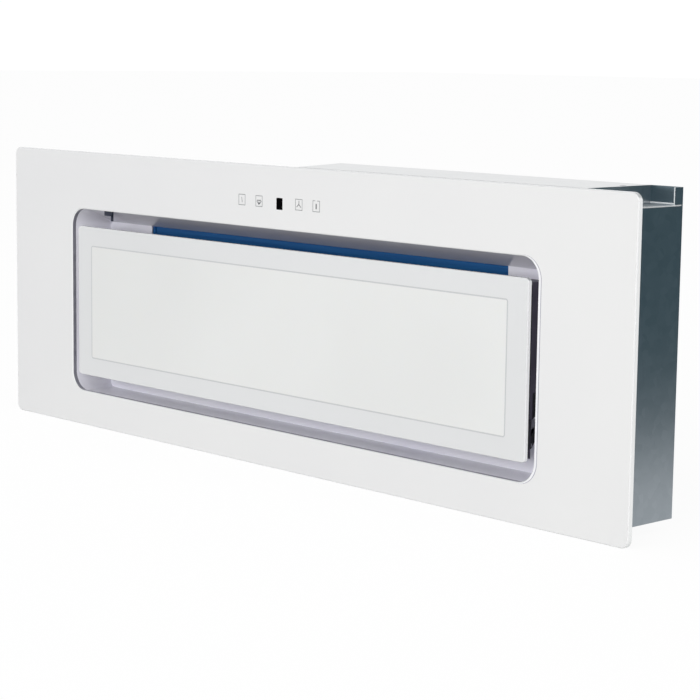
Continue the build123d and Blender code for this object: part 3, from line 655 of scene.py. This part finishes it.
# On each end: a black strip behind the glass that is painted shade, the front fold that runs on
# down to the hinge, the rear fold that starts a little lower, both in a darker copy of the tray's
# coat as painted shade, and a moulded clip with its rivet. Each bar has its reach out from the
# end, its depths behind the tray's front and its heights.
tray_ends = (
    ("panel_end_shade_strips", clip_black_and_painted_shade, [(0.7, (0, 1.6), (-90, 64))]),
    ("tray_end_folds", fold_black_painted_shade, [
        (-1.0, (0, 5.5), (-82.5, -56.0)),
        (0.4, (18.2, 22.6), (-56, 60)),
    ]),
    ("tray_end_clips", clip_black_and_painted_shade, [(0.6, (6.5, 14.5), (-55.5, -33))]),
    ("tray_end_rivets", rivet_white, [(0.9, (8.0, 10.0), (-56.2, -54.6))]),
)
for name, finish, bars in tray_ends:
    bm = bmesh.new()
    for side in (1, -1):
        for out, depths, heights in bars:
            end_bar(bm, side, out, depths, heights)
    new_piece(name, bm, finish, "panel")


def bright_steel(name, dark, pale, roughness, grain):
    # Ground steel: fine scratches round a bright metal.
    material, tree, shader, place = start_finish(name, roughness, 1.0)
    scratch = add(
        tree, "ShaderNodeTexNoise", {"Vector": place, "Scale": 1 / grain, "Detail": 3.0}
    )
    tint(tree, shader, scratch.outputs["Fac"], 0.35, 0.65, dark, pale)
    rough = add(
        tree, "ShaderNodeMapRange",
        {
            "Value": scratch.outputs["Fac"],
            "To Min": roughness - 0.06,
            "To Max": roughness + 0.08,
        },
    )
    tree.links.new(rough.outputs["Result"], shader.inputs["Roughness"])
    return material


pin_steel = bright_steel("ground steel pin", "#a9abae", "#c2c4c7", 0.25, 0.6 * mm)
finish_node(pin_steel, "hinge_pins", "motor_shaft", "damper_pin")

# Push catches and filter latches: small black acetal mouldings, with grey plungers. The
# catches sit on the recess floor, and the latches slide in the filter's lower bar.
acetal_black = moulded_plastic("black acetal", "#1b1b1e", "#26262a", 0.4, 0.7 * mm, 0.15)
acetal_grey = moulded_plastic("grey acetal", "#8d8e91", "#9c9da0", 0.4, 0.7 * mm, 0.15)
finish_node(acetal_black, "catch_housings", "filter_latch_left", "filter_latch_right")
finish_node(acetal_grey, "catch_plunger_left", "catch_plunger_right")

# Grease filter: a folded aluminium rim round layers of expanded aluminium mesh, all
# anodised blue. The mesh's diamonds are drawn twice as coarse as they are, to show.
anodised_dark = "#1a5a9e"
anodised_pale = "#2a72b4"
streak_length = 1000 * mm / 6
streak_width = 1000 * mm / 600
mesh_low, mesh_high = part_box("filter_mesh")
diamond_w = 12 * mm
diamond_h = 6 * mm
strand = 1.1 * mm
mesh_layers = 3
first_layer = 0.6 * mm
layer_pitch = 2.4 * mm


def anodised_aluminium(name, dark, pale, roughness):
    # Anodised aluminium: a coloured metal with fine rolling streaks.
    material, tree, shader, place = start_finish(name, roughness, 0.5)
    along = add(
        tree, "ShaderNodeMapping",
        {"Vector": place, "Scale": (1 / streak_length, 1 / streak_width, 1 / streak_width)},
    )
    streak = add(tree, "ShaderNodeTexNoise", {"Vector": along.outputs[0], "Scale": 1.0})
    tint(tree, shader, streak.outputs["Fac"], 0.3, 0.7, dark, pale)
    return material


filter_blue = anodised_aluminium("blue anodised rim", anodised_dark, anodised_pale, 0.35)
mesh_blue = anodised_aluminium("blue anodised mesh", anodised_dark, anodised_pale, 0.4)
finish_node(filter_blue, "filter_frame")


def expanded_sheet(bm, depth, shift):
    # One layer: rows of diamonds, each an open face that the wireframe turns to strands.
    columns = int((mesh_high.x - mesh_low.x) / diamond_w)
    rows = int((mesh_high.z - mesh_low.z) / diamond_h)
    step_x = (mesh_high.x - mesh_low.x) / columns
    step_z = (mesh_high.z - mesh_low.z) / rows
    corner = {}

    def at(i, k):
        if (i, k) not in corner:
            x = min(max(mesh_low.x + (i + shift) * step_x / 2, mesh_low.x), mesh_high.x)
            corner[i, k] = bm.verts.new((x, depth, mesh_low.z + k * step_z / 2))
        return corner[i, k]

    for k in range(1, 2 * rows):
        for i in range(1 + k % 2, 2 * columns, 2):
            bm.faces.new((at(i - 1, k), at(i, k - 1), at(i + 1, k), at(i, k + 1)))


bm = bmesh.new()
for layer in range(mesh_layers):
    depth = mesh_low.y + first_layer + layer * layer_pitch
    expanded_sheet(bm, depth, 0.5 * (layer % 2))
grease_mesh = new_piece("grease_mesh", bm, mesh_blue, "housing")
strands = grease_mesh.modifiers.new("strands", "WIREFRAME")
strands.thickness = strand
strands.use_even_offset = False
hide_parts("filter_mesh")

# Hemmed flange: a flat strip of the filter's aluminium rim, folded in so that it laps over
# the front of the mesh along its edges.
frame_low, frame_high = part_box("filter_frame")
flange_w = 16 * mm
flange_t = 0.6 * mm


def box_outline(low_x, high_x, low_z, high_z):
    # The four corners (x, z) of a straight-sided outline.
    return [(high_x, high_z), (low_x, high_z), (low_x, low_z), (high_x, low_z)]


flange_inner = box_outline(
    frame_low.x + flange_w, frame_high.x - flange_w, mesh_low.z, frame_high.z - flange_w
)
flange_outer = box_outline(mesh_low.x, mesh_high.x, mesh_low.z - flange_t, mesh_high.z)
bm = bmesh.new()
ring_plate(bm, flange_inner, flange_outer, mesh_low.y - flange_t, mesh_low.y)
new_piece("filter_flange", bm, filter_blue, "housing")

# Touch electronics and the control box: green lacquered boards, a black display module and
# a grey moulded box with its lid, terminals and a black nylon cable gland.
board_green = moulded_plastic("green board lacquer", "#14452b", "#1d5638", 0.3, 0.5 * mm, 0.1)
finish_node(board_green, "touch_board", "control_board")
finish_node(black_ink, "display_module")
box_grey = moulded_plastic("light grey ABS", "#c4c4c0", "#cfcfcb", 0.45, 0.9 * mm, 0.2)
finish_node(box_grey, "control_box", "control_lid")
terminal_blue = moulded_plastic("blue polyamide", "#2a5d7e", "#346b8f", 0.4, 0.7 * mm, 0.1)
finish_node(terminal_blue, "terminal_block")
nylon_black = moulded_plastic("black nylon", "#161618", "#212124", 0.5, 0.7 * mm, 0.2)
finish_node(nylon_black, "cable_gland")

# Blower: a galvanised scroll with two moulded bell mouths, a pressed impeller of thirty-two
# vanes on a steel shaft, and a lacquered motor on a three-armed bracket, with its capacitor.
finish_node(zinc_sheet, "scroll_housing", "motor_bracket", "capacitor_clip")
impeller_zinc = galvanised_steel("galvanised impeller strip", "#84898c", "#a5aaad", 0.35)
finish_node(impeller_zinc, "impeller")
finish_node(nylon_black, "inlet_rings")
motor_lacquer = powder_coat("dark motor lacquer", "#2d2e33", "#3b3c42", 0.45, 0.3)
finish_node(motor_lacquer, "motor")
finish_node(
    moulded_plastic("ivory capacitor case", "#cfccc0", "#dad7cb", 0.35, 0.8 * mm, 0.1),
    "capacitor",
)

# Duct collar: black moulded ABS, screwed to the back of the motor box, with two flaps on one
# steel pin across it.
collar_black = moulded_plastic("black ABS", "#1c1d20", "#27282c", 0.45, 0.9 * mm, 0.25)
flap_grey = moulded_plastic("dark grey flap", "#33353a", "#3f4247", 0.5, 0.9 * mm, 0.25)
finish_node(collar_black, "duct_spigot")
finish_node(flap_grey, "damper_flap_left", "damper_flap_right")

# Fasteners: zinc-plated pan-head screws with a cross recess hold the rear sheet, the motor
# box, the collar and the wiring cover.
screw_head_r = 3.4 * mm
screw_head_h = 2.0 * mm
head_sides = 16
head_crown = 0.97
cross_reach = 0.5
cross_waist = 0.14
cross_floor = 0.35
screw_steel = bright_steel("zinc-plated screw", "#9a9da1", "#b9bcc0", 0.3, 0.8 * mm)


def pan_head(bm, centre, out, height):
    # A domed head with a crossed recess pressed into its crown.
    out = Vector(out)
    across = out.orthogonal().normalized()
    up = out.cross(across)

    def at(i, reach, rise):
        angle = 2 * pi * i / head_sides
        return bm.verts.new(
            Vector(centre)
            + (across * cos(angle) + up * sin(angle)) * screw_head_r * reach
            + out * height * rise
        )

    # The dome's rings from the seat up, each with its reach and rise as shares of the head.
    # Inside the last one lies the recess, a cross-shaped star that sinks to a point.
    loops = []
    for reach, rise in ((1.0, 0.0), (1.0, 0.35), (0.86, 0.75), (0.55, head_crown)):
        loops.append([at(i, reach, rise) for i in range(head_sides)])
    star = [
        at(i, cross_waist if i % 4 else cross_reach, head_crown) for i in range(head_sides)
    ]
    for low, high in zip(loops, loops[1:]):
        for i in range(head_sides):
            j = (i + 1) % head_sides
            bm.faces.new((low[i], low[j], high[j], high[i]))
    bm.faces.new(loops[0])
    for i in range(head_sides):
        j = (i + 1) % head_sides
        bm.faces.new((loops[-1][i], loops[-1][j], star[j], star[i]))
    sunk = at(0, 0.0, cross_floor)
    for i in range(head_sides):
        bm.faces.new((star[i], star[(i + 1) % head_sides], sunk))


def screw_row(name, places, out, height=screw_head_h):
    # One piece with a screw head at each place.
    bm = bmesh.new()
    for place in places:
        pan_head(bm, place, out, height)
    new_piece(name, bm, screw_steel, "housing")


backward = (0, 1, 0)
upward = (0, 0, 1)
rear_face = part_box("back_panel")[1].y
rear_screws = [(x * mm, rear_face, z * mm) for x in (-413, 413) for z in (-120, -40, 45, 122)]
rear_screws += [(x * mm, rear_face, -133 * mm) for x in (-330, 330)]
rear_screws += [(x * mm, rear_face, 128 * mm) for x in (-330, -260)]
screw_row("rear_sheet_screws", rear_screws, backward)
box_face = rear_face + sheet_t
box_screws = [(x * mm, box_face, z * mm) for x in (-235, 235) for z in (-90, 0, 90)]
box_screws += [(x * mm, box_face, z * mm) for x in (-150, 0, 150) for z in (-130, 130)]
screw_row("motor_box_screws", box_screws, backward)
collar_flange_t = 1.2 * mm
collar_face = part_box("motor_box")[1].y + collar_flange_t
collar_screws = [(x * mm, collar_face, z * mm) for x in (-79, 79) for z in (-79, 79)]
screw_row("collar_screws", collar_screws, backward)
# The cover's top screw is a flat one, set into a shallow dimple.
flat_head_h = 0.9 * mm
dimple = 0.5 * mm
cover_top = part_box("wiring_cover")[1].z
screw_row("cover_top_screw", [(384 * mm, -31 * mm, cover_top - dimple)], upward, flat_head_h)
cover_screws = [(x * mm, 0.0, 143 * mm) for x in (40, 200, 360)]
screw_row("cover_rear_screws", cover_screws, backward)

# Raw edges: where the zinc sheet was sheared or bent sharply, thin pale bars are drawn on its
# bare steel as painted highlights, along the ear, the foot of the raised tab and the body's upper
# edge beside the wiring cover.
raw_steel_painted_highlight = bright_steel("sheared steel painted highlight", "#e4e8ea", "#f4f6f7", 0.5, 2.0 * mm)
# Matt and pale, so the painted highlight shows bright under any lamp, not as a mirror.
raw_steel_painted_highlight.node_tree.nodes["Principled BSDF"].inputs["Metallic"].default_value = 0.0
ear_height = 15.2 * mm
ledge = body_high.z - ear_height
ear_front = -11 * mm
ear_cut = 0.12 * mm
tab_face = -2 * mm
tab_left = 391.2 * mm
foot_bend = 0.6 * mm
foot_inset = 0.9 * mm
upper_edge_w = 0.8 * mm
burr = 0.1 * mm
raw_edge_highlights = (
    # The ear's front edge.
    (
        (body_high.x - sheet_t, ear_front - ear_cut, ledge),
        (body_high.x, ear_front, body_high.z),
    ),
    # The foot of the raised tab.
    (
        (tab_left, tab_face - foot_bend, ledge - burr),
        (body_high.x - foot_inset, tab_face, ledge + sheet_t),
    ),
    # The body's upper right edge, from the glass to the tab.
    (
        (body_high.x - upper_edge_w, glass_back, ledge - sheet_t),
        (body_high.x + burr, tab_face, ledge + burr),
    ),
)
# Each bar is a painted highlight along a sheet edge.
bm = bmesh.new()
for low, high in raw_edge_highlights:
    box_bar(bm, low, high)
new_piece("sheet_edge_highlights", bm, raw_steel_painted_highlight, "housing")

# Funnel clip: a slate grey spring clip under the funnel's front edge at the upper left, with
# one leg bent down behind the glass.
clip_slate = moulded_plastic("slate grey acetal", "#1d2336", "#272e43", 0.45, 0.7 * mm, 0.1)
clip_lap = 0.3 * mm
clip_top = opening_mid_z + opening_half_h + clip_lap
clip_foot = 82.4 * mm
clip_right = -275.6 * mm
clip_w = 14.4 * mm
clip_front = -84.8 * mm
clip_back = -83.4 * mm
leg_w = 3 * mm
leg_top = 83.8 * mm
leg_foot = 77.2 * mm
bm = bmesh.new()
box_bar(bm, (clip_right - clip_w, clip_front, clip_foot), (clip_right, clip_back, clip_top))
box_bar(bm, (clip_right - leg_w, clip_front, leg_foot), (clip_right, clip_back, leg_top))
new_piece("funnel_clip", bm, clip_slate, "housing")

# Studio: a white floor that the hood stands on, a white surround and two very large soft
# boxes in front, one low and one higher. The room is dim only to the right, where the body's
# bright zinc side mirrors it; the soft boxes leave no mirror image of their own.
floor_gap = 0.2 * mm
floor_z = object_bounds()[0].z - floor_gap
floor_reach = 30.0
floor_scattering = "#b2b2b0"
floor_shadow = "#e8e8e8"
floor_mirrored = "#f2f8fd"
floor_mirrored_strength = 0.58
floor_white_strength = 1.03
floor_white_share = 0.90
plain_white = "#ffffff"
dim_room = "#3d535c"
dim_side = (1.0, 0.0, 0.0)
floor_bright_until = 0.57
floor_dim_from = 0.83


def mirrored_share(tree, place, bright_until, dim_from):
    # One where a mirror sees bright studio and nothing where it sees the dim side.
    along = add(
        tree, "ShaderNodeVectorMath", {0: place, 1: dim_side}, operation="DOT_PRODUCT"
    )
    return add(
        tree, "ShaderNodeMapRange",
        {
            "Value": along.outputs["Value"],
            "From Min": bright_until,
            "From Max": dim_from,
            "To Min": 1.0,
            "To Max": 0.0,
        },
    )


def white_floor():
    # The camera sees an almost even white that keeps the hood's shadow, a mirror sees the
    # bright and the dim side, and scattered light comes from a plain pale floor.
    material = bpy.data.materials.new("white studio floor")
    material.use_nodes = True
    tree = material.node_tree
    tree.nodes.clear()
    place = add(tree, "ShaderNodeTexCoord").outputs["Object"]
    near = mirrored_share(tree, place, floor_bright_until, floor_dim_from)
    seen = add(tree, "ShaderNodeLightPath")
    room = add(tree, "ShaderNodeEmission", {"Color": linear(dim_room), "Strength": 1.0})
    glow = add(
        tree, "ShaderNodeEmission",
        {"Color": linear(floor_mirrored), "Strength": floor_mirrored_strength},
    )
    mirrored = add(
        tree, "ShaderNodeMixShader",
        {0: near.outputs["Result"], 1: room.outputs[0], 2: glow.outputs[0]},
    )
    lit = add(tree, "ShaderNodeBsdfDiffuse", {"Color": linear(floor_scattering)})
    shaded = add(tree, "ShaderNodeBsdfDiffuse", {"Color": linear(floor_shadow)})
    white = add(
        tree, "ShaderNodeEmission",
        {"Color": linear(plain_white), "Strength": floor_white_strength},
    )
    soft = add(
        tree, "ShaderNodeMixShader",
        {0: floor_white_share, 1: shaded.outputs[0], 2: white.outputs[0]},
    )
    first = add(
        tree, "ShaderNodeMixShader",
        {0: seen.outputs["Is Glossy Ray"], 1: lit.outputs[0], 2: mirrored.outputs[0]},
    )
    last = add(
        tree, "ShaderNodeMixShader",
        {0: seen.outputs["Is Camera Ray"], 1: first.outputs[0], 2: soft.outputs[0]},
    )
    add(tree, "ShaderNodeOutputMaterial", {"Surface": last.outputs[0]})
    return material


bm = bmesh.new()
bmesh.ops.create_grid(bm, x_segments=1, y_segments=1, size=floor_reach)
floor_mesh = bpy.data.meshes.new("studio_floor")
bm.to_mesh(floor_mesh)
bm.free()
floor = bpy.data.objects.new("studio_floor", floor_mesh)
bpy.context.scene.collection.objects.link(floor)
floor.location = (0.0, 0.0, floor_z)
floor_mesh.materials.append(white_floor())

room_bright_until = 0.0
room_dim_from = 0.5
ceiling_from = 0.3
ceiling_until = 0.8
ambient_strength = 0.66
backdrop_strength = 1.02
world = bpy.data.worlds.new("white surround")
bpy.context.scene.world = world
world.use_nodes = True
tree = world.node_tree
tree.nodes.clear()
seen = add(tree, "ShaderNodeLightPath")
aim = add(tree, "ShaderNodeTexCoord").outputs["Generated"]
side = mirrored_share(tree, aim, room_bright_until, room_dim_from)
height = add(tree, "ShaderNodeSeparateXYZ", {0: aim}).outputs["Z"]
above = add(
    tree, "ShaderNodeMapRange",
    {"Value": height, "From Min": ceiling_from, "From Max": ceiling_until},
)
share = add(
    tree, "ShaderNodeMath", {0: side.outputs["Result"], 1: above.outputs["Result"]},
    operation="MAXIMUM",
)
room = add(tree, "ShaderNodeBackground", {"Color": linear(dim_room), "Strength": 1.0})
bright = add(tree, "ShaderNodeBackground", {"Color": linear(plain_white), "Strength": 1.0})
mirrored = add(
    tree, "ShaderNodeMixShader",
    {0: share.outputs[0], 1: room.outputs[0], 2: bright.outputs[0]},
)
ambient = add(
    tree, "ShaderNodeBackground",
    {"Color": linear(plain_white), "Strength": ambient_strength},
)
white = add(
    tree, "ShaderNodeBackground",
    {"Color": linear(plain_white), "Strength": backdrop_strength},
)
first = add(
    tree, "ShaderNodeMixShader",
    {0: seen.outputs["Is Glossy Ray"], 1: ambient.outputs[0], 2: mirrored.outputs[0]},
)
last = add(
    tree, "ShaderNodeMixShader",
    {0: seen.outputs["Is Camera Ray"], 1: first.outputs[0], 2: white.outputs[0]},
)
add(tree, "ShaderNodeOutputWorld", {"Surface": last.outputs[0]})


def soft_box(name, place, width, height, watts):
    # A large soft lamp aimed at the hood, which no mirror shows.
    lamp = bpy.data.lights.new(name, "AREA")
    lamp.shape = "RECTANGLE"
    lamp.size = width
    lamp.size_y = height
    lamp.energy = watts
    holder = bpy.data.objects.new(name, lamp)
    bpy.context.scene.collection.objects.link(holder)
    holder.location = place
    holder.visible_glossy = False
    aim_at = hood_middle - Vector(place)
    holder.rotation_euler = aim_at.to_track_quat("-Z", "Y").to_euler()


hood_middle = Vector((0, -0.05, 0))
soft_box("low_soft_box", (1.1, -5.8, 1.1), 6.0, 2.2, 150.0)
soft_box("high_soft_box", (2.0, -4.9, 3.3), 5.0, 3.4, 66.0)

# Camera: the photograph's own place and angle, found from the glass's four corners, in
# metres and degrees. Its lens covers the square frame without any shift.
camera_place = Vector((1.54992, -1.44352, 0.26169))
camera_azimuth = 46.8515
camera_elevation = 8.0718
camera_roll = 0.7607
camera_lens_px = 2107.03
photo_px = 700
camera = bpy.data.cameras.new("studio_camera")
camera.sensor_width = 36.0
camera.lens = camera_lens_px / photo_px * camera.sensor_width
camera.clip_start = 0.05
camera.clip_end = 100.0
stand = bpy.data.objects.new("studio_camera", camera)
bpy.context.scene.collection.objects.link(stand)
turn = Matrix.Rotation(radians(camera_azimuth), 4, "Z")
tilt = Matrix.Rotation(radians(90 - camera_elevation), 4, "X")
roll = Matrix.Rotation(radians(camera_roll), 4, "Z")
stand.matrix_world = Matrix.Translation(camera_place) @ turn @ tilt @ roll
bpy.context.scene.camera = stand

bpy.context.scene.view_settings.view_transform = "Standard"
